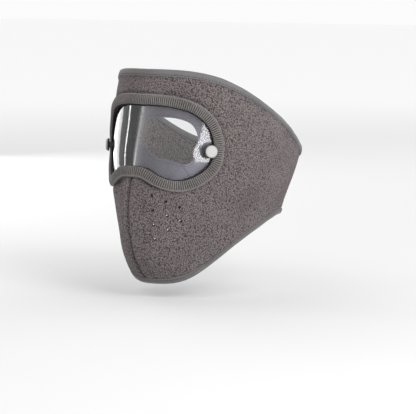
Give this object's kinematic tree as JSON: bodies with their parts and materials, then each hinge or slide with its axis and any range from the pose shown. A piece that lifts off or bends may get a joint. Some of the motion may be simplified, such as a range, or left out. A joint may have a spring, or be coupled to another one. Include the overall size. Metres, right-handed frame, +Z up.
{
  "type": "ski balaclava with press-stud lens",
  "caption": "Fleece ski balaclava worn on the head, with a clear eye lens on press studs, breathing holes and a hook-and-loop closure behind.",
  "frame": {"origin": "middle of the head space at the height of the two snaps", "axes": "+Z up the head, -Y out of the face, +X to the wearer's left"},
  "size_m": [0.1554, 0.2079, 0.1927],
  "materials": {
    "fleece": "brushed fleece",
    "edge_binding": "knit tape",
    "rib_knit": "rib knit",
    "piping": "matt elastic",
    "clear_lens": "clear sheet",
    "liner_jersey": "smooth jersey",
    "tab_cloth": "smooth webbing",
    "hook_nylon": "nylon hooks",
    "loop_nylon": "nylon loops",
    "seam_tape": "knit tape",
    "snap_silver": "silver, fine grain",
    "snap_black": "black",
    "snap_metal": "nickel"
  },
  "bodies": {
    "mask": {"fleece_body": "fleece", "right_back_side": "fleece", "top_edge_binding": "edge_binding", "bottom_edge_binding": "edge_binding", "right_end_binding": "edge_binding", "eye_rib_binding": "rib_knit", "eye_edge_piping": "piping", "lens": "clear_lens", "liner_brow_band": "liner_jersey", "liner_cheek_band": "liner_jersey", "liner_left_side": "liner_jersey", "liner_right_side": "liner_jersey", "left_snap_tab": "tab_cloth", "right_snap_tab": "tab_cloth", "left_snap_stud": "snap_metal", "right_snap_stud": "snap_metal", "left_snap_post": "snap_metal", "right_snap_post": "snap_metal", "loop_patch": "loop_nylon", "front_seam_tape": "seam_tape"},
    "left_wing": {"left_back_wing": "fleece", "left_wing_top_binding": "edge_binding", "left_wing_bottom_binding": "edge_binding", "left_wing_end_binding": "edge_binding", "hook_patch": "hook_nylon"},
    "left_snap": {"left_snap_cap": "snap_silver", "left_snap_socket": "snap_black"},
    "right_snap": {"right_snap_cap": "snap_silver", "right_snap_socket": "snap_black"}
  },
  "joints": [
    {"name": "left_wing_swing", "type": "hinge", "parent": "mask", "child": "left_wing", "pos_m": [0.08245, 0.0213, 0.02308], "axis": [-0.1583, -0.0404, -0.9866], "range_deg": [0, 75]},
    {"name": "left_snap_pull", "type": "slide", "parent": "mask", "child": "left_snap", "axis": [0.8251, -0.5646, 0.0218], "range_m": [0, 0.008], "deforming": ["lens"]},
    {"name": "right_snap_pull", "type": "slide", "parent": "mask", "child": "right_snap", "axis": [-0.8251, -0.5646, 0.0218], "range_m": [0, 0.008], "deforming": ["lens"]}
  ]
}
